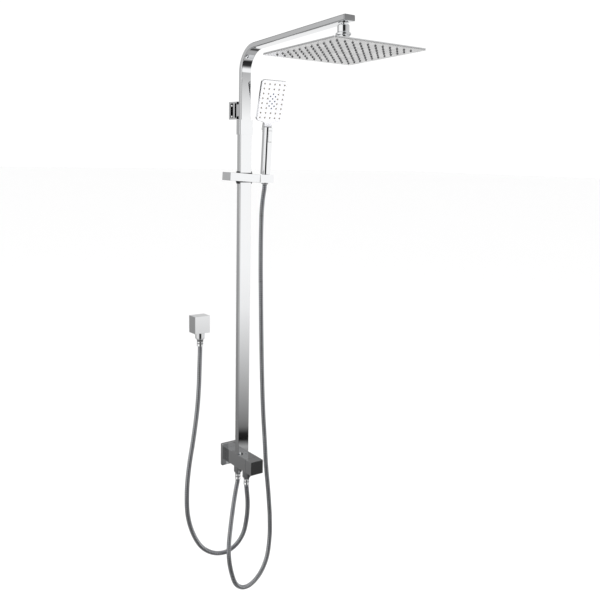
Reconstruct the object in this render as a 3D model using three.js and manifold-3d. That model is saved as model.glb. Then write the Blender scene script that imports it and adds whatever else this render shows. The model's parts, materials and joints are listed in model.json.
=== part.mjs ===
// Rainfall shower column: a square-section riser with a telescopic swan arm, a square rain head on a
// ball joint, a sliding handset holder, a square diverter at the foot, a wall elbow and two metal hoses.
// Millimetres, +Z up, +Y into the wall, +X to the right. The origin is the centre of the lower wall
// plate's back face, so the wall is the plane y = 0 and everything stands in front of it at -Y.
import * as THREE from 'three';
import { mergeVertices } from 'three/addons/utils/BufferGeometryUtils.js';
import Module from 'manifold-3d';

const wasm = await Module();
wasm.setup();

// ---------------------------------------------------------------- driving dimensions
const GAP = 0.3; // clearance between pieces that touch or slide
const standOff = 64.4; // wall to the axis of the riser
const columnY = -standOff;

const riser = { width: 35, depth: 17, wall: 1.4, corner: 2, bottom: 23, top: 924 };
const arm = {
  width: 30,
  depth: 13,
  wall: 1.2,
  corner: 2.4,
  foot: riser.top - 182, // lower end, inside the riser
  bendRadius: 62,
  bendTop: riser.top + 184.4, // centreline where the bend ends
};
const armRise = 3.7; // degrees that the arm climbs towards its end
const armReach = 472; // wall to the arm's end
const capThickness = 2.8;
const collar = {
  width: riser.width + 4.4,
  depth: riser.depth + 2.6,
  bottom: riser.top - 32.2,
  top: riser.top + 5.2,
  lip: 2.3,
  corner: 2.5,
};

const wallPlate = { width: 52, height: 56, thickness: 6, screwInset: 6 };
const wallCover = { width: 60, height: 64, depth: 10.7, wall: 2 };
const body = { width: 39.2, height: 38.2, back: wallCover.depth + GAP, length: 102.6 }; // diverter body
const knobLength = 27.5;
const knobGap = 0.6;
const cartridgeLength = 33.5;
const screw = { radius: 2.2, clearance: 2.6, headRadius: 4.2, headHeight: 1.5 };
const grub = { radius: 2, clearance: 2.3 };
const plateBoss = { radius: 12, length: 24.5 };
const outletFromWall = 45; // handset hose outlet on the diverter's underside
const inletFromWall = 89.8; // supply hose inlet on the diverter's underside
const portRadius = 7.1;
const cartridgeRadius = 14.7;

const hoseRadius = 6.3;
const nipple = { radius: 10, bore: 4.6 };
const flattedJoint = {
  nut: { radius: 11.4, length: 24.5, bore: 10.3, taper: 0.8, sides: 12 },
  ferrule: { radius: 7.8, length: 22.5 },
  nippleLength: 18,
};
const roundJoint = {
  nut: { radius: 13.2, length: 17, bore: 10.3, taper: 3, sides: 32 },
  ferrule: { radius: 9, length: 19 },
  nippleLength: 12,
};

const bracket = {
  width: 20,
  height: 45,
  depth: 38,
  centre: riser.top + 29.5,
  neckHeight: 30,
  anchor: 3,
  wall: 2,
  screwSpacing: 28,
  boltRadius: 3.1,
  pocketDepth: 5.5, // two pockets in each side, with a rib between them
  pocketHeight: 37,
  frontRim: 1.5,
  frontPocket: 8.4,
  rib: 7.5,
  backRim: 7.2,
};
const elbow = { width: 45, height: 46.4, depth: 33, x: -107, z: 392, portFromWall: 19.4 };

const slider = {
  left: -riser.width / 2 - 36.9,
  right: riser.width / 2 + 19.9,
  depth: 40,
  height: 21,
  z: 782,
  droop: 3.5, // degrees that the block hangs down to the right
};
const liner = { wall: 1.8, clearance: 0.4, sleeve: 12.5, tongue: 16, tongueWidth: 14 };
const brake = { padRadius: 4, padLength: 6.1, springEnd: slider.right - 6.4, coilRadius: 3, turns: 3 };
const pivot = { radius: 4, headRadius: 6, headHeight: 2.7, reach: 10.3 };
const holder = { left: slider.right + 1, right: slider.right + 43, depth: 40, height: 21, z: 779.5 };
const handsetX = holder.left + 28.2; // axis of the handset and of the holder's socket
const handsetLean = 3.8; // degrees that the handle leans away from the wall
const headLean = 11; // degrees that the spray face leans from the handle
const handle = { width: 25, depth: 25, corner: 9.5, bottom: 11.8, top: 134 };
const spigotRadius = 8.6; // threaded foot of the handle
const sprayHead = {
  halfWidth: 40, top: 53, shoulder: -52.5, corner: 9, depth: 15, forward: -15.3, up: 200.7,
};
const sprayGrid = { columns: 5, rows: 8, pitchX: 15.5, pitchZ: 12.3 };
const button = { halfWidth: 6.1, bottom: 96.4, top: 125.6, proud: 1.3, depth: 4.8, travel: 2 };
const coneNut = { topRadius: 12, bottomRadius: 9.5, top: 10, bottom: -14.7, clearance: 0.35 };

const ball = { radius: 8.6, fromArmEnd: 20, drop: 19.7 }; // ball joint under the arm's end
const headTilt = 2.5; // degrees that the rain head's front edge is raised
const seatInner = ball.radius + GAP;
const seatOuter = ball.radius + 1.1;
const cupRadius = seatOuter + GAP;
const split = -2.4; // height of the seam between the swivel nut and the boss
const swivel = {
  radius: cupRadius + 3.5,
  top: ball.radius - 0.3,
  bottom: -ball.radius,
  mouth: ball.radius - 0.3,
  thread: cupRadius + 1.3,
};
const headSize = 250;
const headFace = -49.4; // underside of the rain head below the ball's centre
const faceThickness = 1.4;
const headRim = 2.5; // edge of the top plate
const chamber = { height: 8.2, top: headSize * 0.6, wall: 1.3 };
const nozzleGrid = { count: 11, pitch: (headSize - 46) / 10, hole: 2.4 };

// ---------------------------------------------------------------- geometry helpers
function solid(geometry) {
  // a manifold body from any closed three.js geometry
  const bare = geometry.clone();
  bare.deleteAttribute('normal');
  bare.deleteAttribute('uv');
  const merged = mergeVertices(bare, 1e-4);
  const corners = Array.from(merged.index.array);
  const triangles = [];
  for (let i = 0; i < corners.length; i += 3) {
    const [a, b, c] = corners.slice(i, i + 3);
    if (a !== b && b !== c && c !== a) {
      triangles.push(a, b, c);
    }
  }
  const mesh = new wasm.Mesh({
    numProp: 3,
    vertProperties: new Float32Array(merged.attributes.position.array),
    triVerts: new Uint32Array(triangles),
  });
  return new wasm.Manifold(mesh);
}

function geometryOf(manifold) {
  const mesh = manifold.getMesh();
  const geometry = new THREE.BufferGeometry();
  geometry.setAttribute('position', new THREE.BufferAttribute(new Float32Array(mesh.vertProperties), 3));
  geometry.setIndex(new THREE.BufferAttribute(new Uint32Array(mesh.triVerts), 1));
  return geometry;
}

function cut(base, ...tools) {
  return tools.reduce((rest, tool) => rest.subtract(tool), base);
}

function join(first, ...others) {
  return others.reduce((whole, piece) => whole.add(piece), first);
}

function box([x0, x1], [y0, y1], [z0, z1]) {
  const geometry = new THREE.BoxGeometry(Math.abs(x1 - x0), Math.abs(y1 - y0), Math.abs(z1 - z0));
  geometry.translate((x0 + x1) / 2, (y0 + y1) / 2, (z0 + z1) / 2);
  return solid(geometry);
}

function rodZ(radius, z0, z1, x = 0, y = 0, sides = 24, topRadius = radius) {
  // cylinder or cone from z0 up to z1
  const geometry = new THREE.CylinderGeometry(topRadius, radius, z1 - z0, sides);
  geometry.rotateX(Math.PI / 2);
  geometry.translate(x, y, (z0 + z1) / 2);
  return solid(geometry);
}

function rodY(radius, y0, y1, x = 0, z = 0, sides = 24) {
  const geometry = new THREE.CylinderGeometry(radius, radius, Math.abs(y1 - y0), sides);
  geometry.translate(x, (y0 + y1) / 2, z);
  return solid(geometry);
}

function rodX(radius, x0, x1, y = 0, z = 0, sides = 24) {
  const geometry = new THREE.CylinderGeometry(radius, radius, Math.abs(x1 - x0), sides);
  geometry.rotateZ(Math.PI / 2);
  geometry.translate((x0 + x1) / 2, y, z);
  return solid(geometry);
}

function roundedShape(width, depth, radius) {
  const x = width / 2;
  const y = depth / 2;
  const shape = new THREE.Shape();
  shape.moveTo(-x + radius, -y);
  shape.lineTo(x - radius, -y);
  shape.absarc(x - radius, -y + radius, radius, -Math.PI / 2, 0);
  shape.absarc(x - radius, y - radius, radius, 0, Math.PI / 2);
  shape.absarc(-x + radius, y - radius, radius, Math.PI / 2, Math.PI);
  shape.absarc(-x + radius, -y + radius, radius, Math.PI, Math.PI * 1.5);
  return shape;
}

function roundedBar(width, depth, radius, z0, z1, x = 0, y = 0, curveSegments = 3) {
  // upright bar of rounded rectangular section
  const options = { depth: z1 - z0, bevelEnabled: false, curveSegments };
  const geometry = new THREE.ExtrudeGeometry(roundedShape(width, depth, radius), options);
  geometry.translate(x, y, z0);
  return solid(geometry);
}

function turned(profile, sides = 32) {
  // body of revolution about Z from a closed list of [radius, z]
  const points = profile.map(([radius, z]) => new THREE.Vector2(Math.max(radius, 0), z));
  points.push(points[0].clone());
  const geometry = new THREE.LatheGeometry(points, sides);
  geometry.rotateX(Math.PI / 2);
  const turnedBody = solid(geometry);
  if (turnedBody.volume() > 0) {
    return turnedBody;
  }
  return solid(flipped(geometry));
}

function flipped(geometry) {
  const copy = geometry.clone();
  const index = copy.index.array;
  for (let i = 0; i < index.length; i += 3) {
    [index[i], index[i + 1]] = [index[i + 1], index[i]];
  }
  return copy;
}

function arcPoints(radius, fromDegrees, toDegrees, steps) {
  // points on a sphere's outline, the angle measured from +Z
  return Array.from({ length: steps + 1 }, (_, i) => {
    const angle = THREE.MathUtils.degToRad(fromDegrees + ((toDegrees - fromDegrees) * i) / steps);
    return [radius * Math.sin(angle), radius * Math.cos(angle)];
  });
}

class StationPath extends THREE.Curve {
  // a path given by stations, so that straight stretches take one step and bends take many
  constructor(stations) {
    super();
    this.stations = stations;
  }

  getPointAt(u, target = new THREE.Vector3()) {
    return target.copy(this.stations[Math.round(u * (this.stations.length - 1))].point);
  }

  getPoint(u, target) {
    return this.getPointAt(u, target);
  }

  getTangentAt(u, target = new THREE.Vector3()) {
    return target.copy(this.stations[Math.round(u * (this.stations.length - 1))].direction);
  }
}

function swept(shape, path, steps) {
  const options = { steps, extrudePath: path, bevelEnabled: false, curveSegments: 3 };
  return solid(new THREE.ExtrudeGeometry(shape, options));
}

// ---------------------------------------------------------------- finishes
const finishes = {
  chrome: { color: 0xd9dde0, roughness: 0.06, metalness: 1 },
  satinSteel: { color: 0xc9cbcc, roughness: 0.3, metalness: 1 },
  hoseSteel: { color: 0xa9acae, roughness: 0.25, metalness: 1 },
  brass: { color: 0xb08d4a, roughness: 0.35, metalness: 1 },
  springSteel: { color: 0x8e9194, roughness: 0.4, metalness: 1 },
  whiteGloss: { color: 0xf4f5f6, roughness: 0.2, metalness: 0 },
  silicone: { color: 0x9a9a96, roughness: 0.7, metalness: 0 },
  blackPlastic: { color: 0x1c1c1d, roughness: 0.5, metalness: 0 },
  blackRubber: { color: 0x161616, roughness: 0.8, metalness: 0 },
};
const materials = {};
for (const [name, values] of Object.entries(finishes)) {
  materials[name] = new THREE.MeshStandardMaterial({ name, ...values });
}

const column = new THREE.Group();

function part(name, manifold, finish, parent = column) {
  const mesh = new THREE.Mesh(geometryOf(manifold), materials[finish]);
  mesh.name = name;
  parent.add(mesh);
  return mesh;
}

// ---------------------------------------------------------------- diverter and lower wall fixing
const bodyFront = -(body.back + body.length);
const knobBack = bodyFront - knobGap;
const knobFront = knobBack - knobLength;
const halfBody = body.width / 2;
const halfHeight = body.height / 2;

function makeWallFixing() {
  const plate = box(
    [-wallPlate.width / 2, wallPlate.width / 2],
    [-wallPlate.thickness, 0],
    [-wallPlate.height / 2, wallPlate.height / 2],
  );
  const boss = rodY(plateBoss.radius, -plateBoss.length, -wallPlate.thickness + 1);
  const screwX = wallPlate.width / 2 - wallPlate.screwInset;
  const screwZ = wallPlate.height / 2 - wallPlate.screwInset;
  const spots = [[-1, -1], [1, -1], [-1, 1], [1, 1]].map(([sx, sz]) => [sx * screwX, sz * screwZ]);
  const holes = spots.map(([x, z]) => rodY(screw.clearance, -wallPlate.thickness - 1, 1, x, z, 16));
  part('lower_wall_plate', cut(join(plate, boss), ...holes), 'springSteel');
  [spots[0], spots[3]].forEach(([x, z], i) => {
    const seat = -wallPlate.thickness - GAP;
    const shank = rodY(screw.radius, seat - 0.5, 0, x, z, 12);
    const head = rodY(screw.headRadius, seat - screw.headHeight, seat, x, z, 12);
    part(`lower_wall_screw_${i + 1}`, join(shank, head), 'springSteel');
  });

  const halfWidth = wallCover.width / 2;
  const halfTall = wallCover.height / 2;
  const inner = wallCover.wall;
  const outside = box([-halfWidth, halfWidth], [-wallCover.depth, -GAP], [-halfTall, halfTall]);
  const inside = box(
    [-halfWidth + inner, halfWidth - inner],
    [-wallCover.depth + inner, 1],
    [-halfTall + inner, halfTall - inner],
  );
  const bossHole = rodY(plateBoss.radius + 0.4, -wallCover.depth - 1, 1);
  part('lower_wall_cover', cut(outside, inside, bossHole), 'chrome');
}

function makeDiverter() {
  const block = box([-halfBody, halfBody], [bodyFront, -body.back], [-halfHeight, halfHeight]);
  const cartridgeBack = bodyFront + cartridgeLength;
  const screwY = -plateBoss.length + 6.5;
  const socketEnd = -plateBoss.length - 0.5;
  const tools = [
    rodY(cartridgeRadius + GAP, bodyFront - 1, cartridgeBack),
    rodY(8, cartridgeBack - 1, -outletFromWall + portRadius),
    rodZ(portRadius, 0, halfHeight + 1, 0, columnY),
    rodZ(nipple.bore, -halfHeight - 1, 0, 0, -outletFromWall),
    rodZ(nipple.bore, -halfHeight - 1, 0, 0, -inletFromWall),
    rodY(plateBoss.radius + GAP, socketEnd, 0),
    rodZ(grub.clearance, -halfHeight - 1, -8, 0, screwY, 12),
  ];
  const nipples = [outletFromWall, inletFromWall].map((y) => hoseNipple(flattedJoint, 0, -y, -halfHeight));
  const bores = [outletFromWall, inletFromWall].map((y) => nippleBore(flattedJoint, 0, -y, -halfHeight));
  part('diverter_body', cut(join(cut(block, ...tools), ...nipples), ...bores), 'chrome');
  const setScrew = rodZ(grub.radius, -halfHeight + GAP, -plateBoss.radius - GAP, 0, screwY, 12);
  part('body_set_screw', setScrew, 'springSteel');

  const cartridgeFront = bodyFront + 3.6;
  const core = rodY(cartridgeRadius, cartridgeFront, cartridgeBack - GAP);
  const spindleBore = rodY(4.3, cartridgeFront - 1, cartridgeFront + 14);
  const inlet = rodZ(5, -cartridgeRadius - 1, 0, 0, -inletFromWall);
  const through = rodY(4, -inletFromWall - 4, 0, 0, -5);
  part('diverter_cartridge', cut(core, spindleBore, inlet, through), 'whiteGloss');
  const ring = rodY(cartridgeRadius, bodyFront + GAP, cartridgeFront - GAP);
  part('cartridge_retainer', cut(ring, rodY(6, bodyFront - 1, 0)), 'brass');
  const spindle = rodY(4, knobFront + 7, cartridgeFront + 13.5);
  part('diverter_spindle', spindle, 'brass');

  const grubY = (knobBack + knobFront) / 2;
  const knob = box([-halfBody, halfBody], [knobFront, knobBack], [-halfHeight, halfHeight]);
  const spindleHole = rodY(4.3, knobFront + 6, knobBack + 1);
  const grubHole = rodZ(grub.clearance, -halfHeight - 1, 0, 0, grubY, 12);
  part('diverter_knob', cut(knob, spindleHole, grubHole), 'chrome');
  part('knob_grub_screw', rodZ(grub.radius, -halfHeight + GAP, -4 - GAP, 0, grubY, 12), 'springSteel');
}

function hoseNipple(joint, x, y, top) {
  // threaded spigot that stands down from the underside of a fitting
  return rodZ(nipple.radius, top - joint.nippleLength, top + 1, x, y);
}

function nippleBore(joint, x, y, top) {
  return rodZ(nipple.bore, top - joint.nippleLength - 1, top + 2, x, y, 16);
}

function makeHoseJoint(prefix, joint, x, y, top) {
  // nut, washer and crimped ferrule that fasten a hose to a nipple
  const { nut, ferrule } = joint;
  const nutTop = top - 0.9;
  const nutBottom = nutTop - nut.length;
  const lip = nutBottom + 3.6;
  const nippleEnd = top - joint.nippleLength;
  const taperTop = nutBottom + nut.taper;
  const shell = join(
    rodZ(nut.radius, taperTop - 0.01, nutTop, x, y, nut.sides),
    rodZ(nut.radius - nut.taper, nutBottom, taperTop, x, y, nut.sides, nut.radius),
  );
  const room = rodZ(nut.bore, lip, nutTop + 1, x, y);
  const neck = rodZ(hoseRadius + 0.4, nutBottom - 1, lip + 1, x, y);
  part(`${prefix}_nut`, cut(shell, room, neck), 'chrome');
  const washer = rodZ(nipple.radius - GAP, lip + GAP, nippleEnd - GAP, x, y);
  part(`${prefix}_washer`, cut(washer, rodZ(nipple.bore, lip, nippleEnd, x, y, 16)), 'blackRubber');
  const ferruleTop = nutBottom - GAP;
  const ferruleBottom = ferruleTop - ferrule.length;
  const sleeve = rodZ(ferrule.radius, ferruleBottom, ferruleTop, x, y);
  const bore = rodZ(nipple.bore, ferruleBottom - 1, ferruleTop + 1, x, y, 16);
  part(`${prefix}_ferrule`, cut(sleeve, bore), 'chrome');
}

// ---------------------------------------------------------------- riser, collar and arm
function makeRiser() {
  const { width, depth, wall, bottom, top } = riser;
  const outside = roundedBar(width, depth, riser.corner, bottom, top, 0, columnY);
  const innerWidth = width - 2 * wall;
  const innerDepth = depth - 2 * wall;
  const inside = roundedBar(innerWidth, innerDepth, 1, bottom - 1, top + 1, 0, columnY);
  const screwZ = (collar.bottom + collar.top) / 2 - 6;
  const backY = columnY + depth / 2;
  const screwHole = rodY(2.9, backY - wall - 1, backY + 1, 0, screwZ, 12);
  part('lower_tube', cut(outside, inside, screwHole), 'chrome');

  const footTop = bottom + 18;
  const block = roundedBar(innerWidth - 2 * GAP, innerDepth - 2 * GAP, 1, bottom + GAP, footTop, 0, columnY);
  const spigot = rodZ(portRadius - GAP, -1, bottom + 1, 0, columnY);
  const bore = rodZ(4.5, -2, footTop + 1, 0, columnY, 16);
  part('column_adapter', cut(join(block, spigot), bore), 'brass');
  const ring = rodZ(11, halfHeight + GAP, bottom - GAP, 0, columnY);
  part('column_nut', cut(ring, rodZ(portRadius, 0, bottom, 0, columnY)), 'chrome');

  const { corner, bottom: collarBottom, top: collarTop } = collar;
  const collarOutside = roundedBar(collar.width, collar.depth, corner, collarBottom, collarTop, 0, columnY);
  const lipBottom = collar.top - collar.lip;
  const tubeRoom = roundedBar(
    width + 2 * GAP, depth + 2 * GAP, riser.corner, collar.bottom - 1, lipBottom, 0, columnY,
  );
  const armRoom = roundedBar(
    arm.width + 0.8, arm.depth + 0.8, arm.corner, collar.bottom, collar.top + 1, 0, columnY,
  );
  const collarHole = rodY(2.7, backY, columnY + collar.depth, 0, screwZ, 12);
  part('collar', cut(collarOutside, tubeRoom, armRoom, collarHole), 'chrome');
  const seal = roundedBar(width, depth, riser.corner, top + GAP, lipBottom - GAP, 0, columnY);
  const sealRoom = roundedBar(arm.width + 0.7, arm.depth + 0.7, arm.corner, top, lipBottom, 0, columnY);
  part('collar_seal', cut(seal, sealRoom), 'blackRubber');
  const armBack = columnY + arm.depth / 2;
  const collarBack = columnY + collar.depth / 2;
  part('collar_screw', rodY(2.4, armBack + GAP, collarBack - 0.4, 0, screwZ, 12), 'springSteel');
}

const riseAngle = THREE.MathUtils.degToRad(armRise);
const bendAngle = Math.PI / 2 - riseAngle;
const bendCentre = { y: columnY - arm.bendRadius, z: arm.bendTop - arm.bendRadius * Math.sin(bendAngle) };
const armDirection = new THREE.Vector3(0, -Math.cos(riseAngle), Math.sin(riseAngle));

function bendPoint(angle) {
  const y = bendCentre.y + arm.bendRadius * Math.cos(angle);
  return new THREE.Vector3(0, y, bendCentre.z + arm.bendRadius * Math.sin(angle));
}

function armAt(distanceFromWall) {
  // centreline of the straight arm at a distance from the wall
  const start = bendPoint(bendAngle);
  const run = (distanceFromWall + start.y) / Math.cos(riseAngle);
  return start.clone().addScaledVector(armDirection, run);
}

function armStations(bottom, reach, bendSteps) {
  const stations = [{ point: new THREE.Vector3(0, columnY, bottom), direction: new THREE.Vector3(0, 0, 1) }];
  for (let i = 0; i <= bendSteps; i += 1) {
    const angle = (bendAngle * i) / bendSteps;
    const direction = new THREE.Vector3(0, -Math.sin(angle), Math.cos(angle));
    stations.push({ point: bendPoint(angle), direction });
  }
  stations.push({ point: armAt(reach), direction: armDirection });
  return stations;
}

const ballAt = armAt(armReach - ball.fromArmEnd);
ballAt.z -= ball.drop;

function makeArm() {
  const tubeReach = armReach - capThickness - GAP;
  const bendSteps = 12;
  // swept() lays a shape's x along the depth and its y along the width
  const shape = roundedShape(arm.depth, arm.width, arm.corner);
  const boreShape = roundedShape(arm.depth - 2 * arm.wall, arm.width - 2 * arm.wall, arm.corner - arm.wall);
  const outer = new StationPath(armStations(arm.foot, tubeReach, bendSteps));
  const inner = new StationPath(armStations(arm.foot - 1, tubeReach + 1, bendSteps));
  const tube = cut(swept(shape, outer, bendSteps + 2), swept(boreShape, inner, bendSteps + 2));
  const studHole = rodZ(6.4, 0, 18, 0, 0, 16);
  const placedHole = studHole.rotate([-headTilt, 0, 0]).translate([0, ballAt.y, ballAt.z]);
  const armBack = columnY + arm.depth / 2;
  const bracketHole = rodY(bracket.boltRadius + GAP, armBack - 3, armBack + 1, 0, bracket.centre, 12);
  part('upper_arm', cut(tube, placedHole, bracketHole), 'chrome');

  const end = new THREE.Group();
  end.position.copy(armAt(armReach));
  end.rotation.x = -riseAngle;
  column.add(end);
  const upright = (manifold) => manifold.rotate([-90, 0, 0]);
  const plate = upright(roundedBar(arm.width, arm.depth, arm.corner, 0, capThickness));
  const tongueWidth = arm.width - 2 * arm.wall - 2 * GAP;
  const tongueDepth = arm.depth - 2 * arm.wall - 2 * GAP;
  const tongue = upright(roundedBar(tongueWidth, tongueDepth, 1, capThickness - 1, capThickness + 9));
  part('arm_end_cap', join(plate, tongue), 'chrome', end);

  const bushTop = arm.foot - GAP;
  const bushBottom = bushTop - 15;
  const bushWidth = riser.width - 2 * riser.wall - 2 * GAP;
  const bushDepth = riser.depth - 2 * riser.wall - 2 * GAP;
  const block = roundedBar(bushWidth, bushDepth, 1, bushBottom, bushTop, 0, columnY);
  const plug = roundedBar(tongueWidth, tongueDepth, 1, bushTop - 1, arm.foot + 12, 0, columnY);
  const bore = rodZ(3.4, bushBottom - 1, arm.foot + 13, 0, columnY, 16);
  const ringBottom = bushBottom + 5;
  const ringTop = ringBottom + 3.6;
  const grooveOutside = roundedBar(bushWidth + 4, bushDepth + 4, 1, ringBottom, ringTop, 0, columnY);
  const grooveCore = roundedBar(bushWidth - 3.6, bushDepth - 3.6, 1, ringBottom - 1, ringTop + 1, 0, columnY);
  const groove = cut(grooveOutside, grooveCore);
  part('arm_foot_bush', cut(join(block, plug), bore, groove), 'blackPlastic');
  const oRing = roundedBar(bushWidth + 0.2, bushDepth + 0.2, 1, ringBottom + GAP, ringTop - GAP, 0, columnY);
  const oRingRoom = roundedBar(bushWidth - 3, bushDepth - 3, 1, ringBottom, ringTop, 0, columnY);
  part('arm_o_ring', cut(oRing, oRingRoom), 'blackRubber');
}

function makeUpperBracket() {
  const half = bracket.width / 2;
  const low = bracket.centre - bracket.height / 2;
  const high = bracket.centre + bracket.height / 2;
  const back = -bracket.anchor - GAP;
  const front = back - bracket.depth;
  const { wall } = bracket;
  const shell = box([-half, half], [front, back], [low, high]);
  const room = box([-half + wall, half - wall], [front + 16, back + 1], [low + wall, high - wall]);
  const neckHalf = bracket.neckHeight / 2;
  const armBack = columnY + arm.depth / 2;
  const neckZ = [bracket.centre - neckHalf, bracket.centre + neckHalf];
  const neck = box([-half, half], [armBack + GAP, front + 1], neckZ);
  const boltRoom = rodY(bracket.boltRadius + GAP, armBack - 1, back + 1, 0, bracket.centre, 16);
  const pocketZ = [bracket.centre - bracket.pocketHeight / 2, bracket.centre + bracket.pocketHeight / 2];
  const ribFront = front + bracket.frontRim + bracket.frontPocket;
  const frontY = [front + bracket.frontRim, ribFront];
  const backY = [ribFront + bracket.rib, back - bracket.backRim];
  const pockets = [-1, 1].flatMap((side) => {
    const pocketX = [side * (half + 1), side * (half - bracket.pocketDepth)];
    return [frontY, backY].map((pocketY) => box(pocketX, pocketY, pocketZ));
  });
  part('upper_bracket', cut(join(shell, neck), room, boltRoom, ...pockets), 'chrome');
  const innerWall = armBack - arm.wall;
  const shank = rodY(bracket.boltRadius, innerWall - 1, front + 13, 0, bracket.centre, 16);
  const boltHead = rodY(6, innerWall - 2.4, innerWall - GAP, 0, bracket.centre, 16);
  part('bracket_bolt', join(shank, boltHead), 'springSteel');

  const plateHalf = half - wall - GAP;
  const anchor = box([-plateHalf, plateHalf], [-bracket.anchor, 0], [low + wall + 0.5, high - wall - 0.5]);
  const screwZ = [-0.5, 0.5].map((side) => bracket.centre + side * bracket.screwSpacing);
  const holes = screwZ.map((z) => rodY(screw.clearance, -bracket.anchor - 1, 1, 0, z, 12));
  part('bracket_wall_plate', cut(anchor, ...holes), 'springSteel');
}

// ---------------------------------------------------------------- rain head on its ball joint
function makeBallJoint(head) {
  const degrees = (ratio) => THREE.MathUtils.radToDeg(Math.acos(ratio));
  const neckRadius = 5.5;
  const boreRadius = 3.4;
  const neckAngle = degrees(Math.sqrt(1 - (neckRadius / ball.radius) ** 2));
  const boreAngle = degrees(Math.sqrt(1 - (boreRadius / ball.radius) ** 2));
  const armUnderside = ball.drop - arm.depth / 2;
  const flangeTop = armUnderside - 0.55;
  const flangeRadius = 11.8;
  const lockBottom = armUnderside + arm.wall + 0.35;
  const lockTop = lockBottom + 4;
  const shankRadius = 5.9;
  const stud = [
    [boreRadius, lockTop + 0.75], [shankRadius, lockTop + 0.75], [shankRadius, flangeTop],
    [flangeRadius, flangeTop], [flangeRadius, flangeTop - 1.15], [flangeRadius - 0.8, flangeTop - 1.85],
    [neckRadius, flangeTop - 1.85], ...arcPoints(ball.radius, neckAngle, 180 - boreAngle, 9),
  ];
  part('ball_stud', turned(stud), 'chrome', head);
  const lockRing = rodZ(8.7, lockBottom, lockTop, 0, 0, 6);
  const lockBore = rodZ(shankRadius + GAP, lockBottom - 1, lockTop + 1, 0, 0, 16);
  part('stud_lock_nut', cut(lockRing, lockBore), 'brass', head);

  const upperSeat = [...arcPoints(seatOuter, 60, 80, 3), ...arcPoints(seatInner, 80, 60, 3)];
  part('upper_ball_seat', turned(upperSeat), 'blackPlastic', head);
  const lowerSeat = [...arcPoints(seatOuter, 108, 130, 4), ...arcPoints(seatInner, 130, 108, 4)];
  part('lower_ball_seat', turned(lowerSeat), 'blackRubber', head);

  const mouthAngle = degrees(Math.sqrt(1 - (swivel.mouth / cupRadius) ** 2));
  const nutProfile = [
    [swivel.mouth, swivel.top], [swivel.radius - 2, swivel.top], [swivel.radius, swivel.top - 2],
    [swivel.radius, swivel.bottom + 1.6], [swivel.radius - 1.6, swivel.bottom],
    [swivel.thread, swivel.bottom], [swivel.thread, split],
    ...arcPoints(cupRadius, degrees(split / cupRadius), mouthAngle, 6),
  ];
  part('swivel_nut', turned(nutProfile), 'chrome', head);

  const chamberTop = headFace + chamber.height;
  const waterRadius = 5.5;
  const cupFloor = -0.8 * cupRadius;
  const ringTop = swivel.bottom - GAP;
  const ringRadius = swivel.radius + 3.7;
  const boss = [
    ...arcPoints(cupRadius, degrees(cupFloor / cupRadius), degrees((split - GAP) / cupRadius), 4),
    [swivel.thread - GAP, split - GAP], [swivel.thread - GAP, ringTop], [ringRadius - 1, ringTop],
    [ringRadius, ringTop - 1], [ringRadius, ringTop - 4.1], [ringRadius - 3.2, ringTop - 6.1],
    [ringRadius - 3.2, chamberTop + 5], [22, chamberTop + 2.5], [23, chamberTop + GAP],
    [waterRadius, chamberTop + GAP], [waterRadius, cupFloor],
  ];
  part('head_boss', turned(boss), 'chrome', head);
}

function squareCone(low, high, lowSide, highSide) {
  const geometry = new THREE.CylinderGeometry(highSide / Math.SQRT2, lowSide / Math.SQRT2, high - low, 4);
  geometry.rotateY(Math.PI / 4);
  geometry.rotateX(Math.PI / 2);
  geometry.translate(0, 0, (low + high) / 2);
  return solid(geometry);
}

function makeRainHead() {
  const head = new THREE.Group();
  head.position.copy(ballAt);
  head.rotation.x = THREE.MathUtils.degToRad(-headTilt);
  column.add(head);
  makeBallJoint(head);

  const faceTop = headFace + faceThickness;
  const plateBottom = faceTop + GAP;
  const rimTop = plateBottom + headRim;
  const chamberTop = headFace + chamber.height;
  const ceiling = chamberTop - chamber.wall;
  const matHalf = ((nozzleGrid.count - 1) / 2) * nozzleGrid.pitch + nozzleGrid.hole + 3;
  const matThickness = 1.2;
  const roomHalf = matHalf + 4;
  const rim = roundedBar(headSize, headSize, 3, plateBottom, rimTop);
  const dome = squareCone(rimTop - 0.5, chamberTop, headSize - 14, chamber.top);
  const step = plateBottom + matThickness + GAP;
  const matRoom = box([-roomHalf, roomHalf], [-roomHalf, roomHalf], [plateBottom - 1, step]);
  const waterRoom = squareCone(step - 0.2, ceiling, 2 * roomHalf - 2, chamber.top - 4);
  const inlet = rodZ(5.5, headFace, chamberTop + 1, 0, 0, 16);
  part('head_top_plate', cut(join(rim, dome), matRoom, waterRoom, inlet), 'chrome', head);

  const face = roundedBar(headSize, headSize, 3, headFace, faceTop);
  const holes = [];
  const middle = (nozzleGrid.count - 1) / 2;
  for (let file = 0; file < nozzleGrid.count; file += 1) {
    for (let rank = 0; rank < nozzleGrid.count; rank += 1) {
      const x = (file - middle) * nozzleGrid.pitch;
      const y = (rank - middle) * nozzleGrid.pitch;
      holes.push(rodZ(nozzleGrid.hole, headFace - 1, faceTop + 1, x, y, 6));
    }
  }
  part('head_face_plate', face.subtract(wasm.Manifold.union(holes)), 'satinSteel', head);
  const mat = box([-matHalf, matHalf], [-matHalf, matHalf], [plateBottom, plateBottom + matThickness]);
  part('head_nozzle_mat', mat, 'silicone', head);
}

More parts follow.
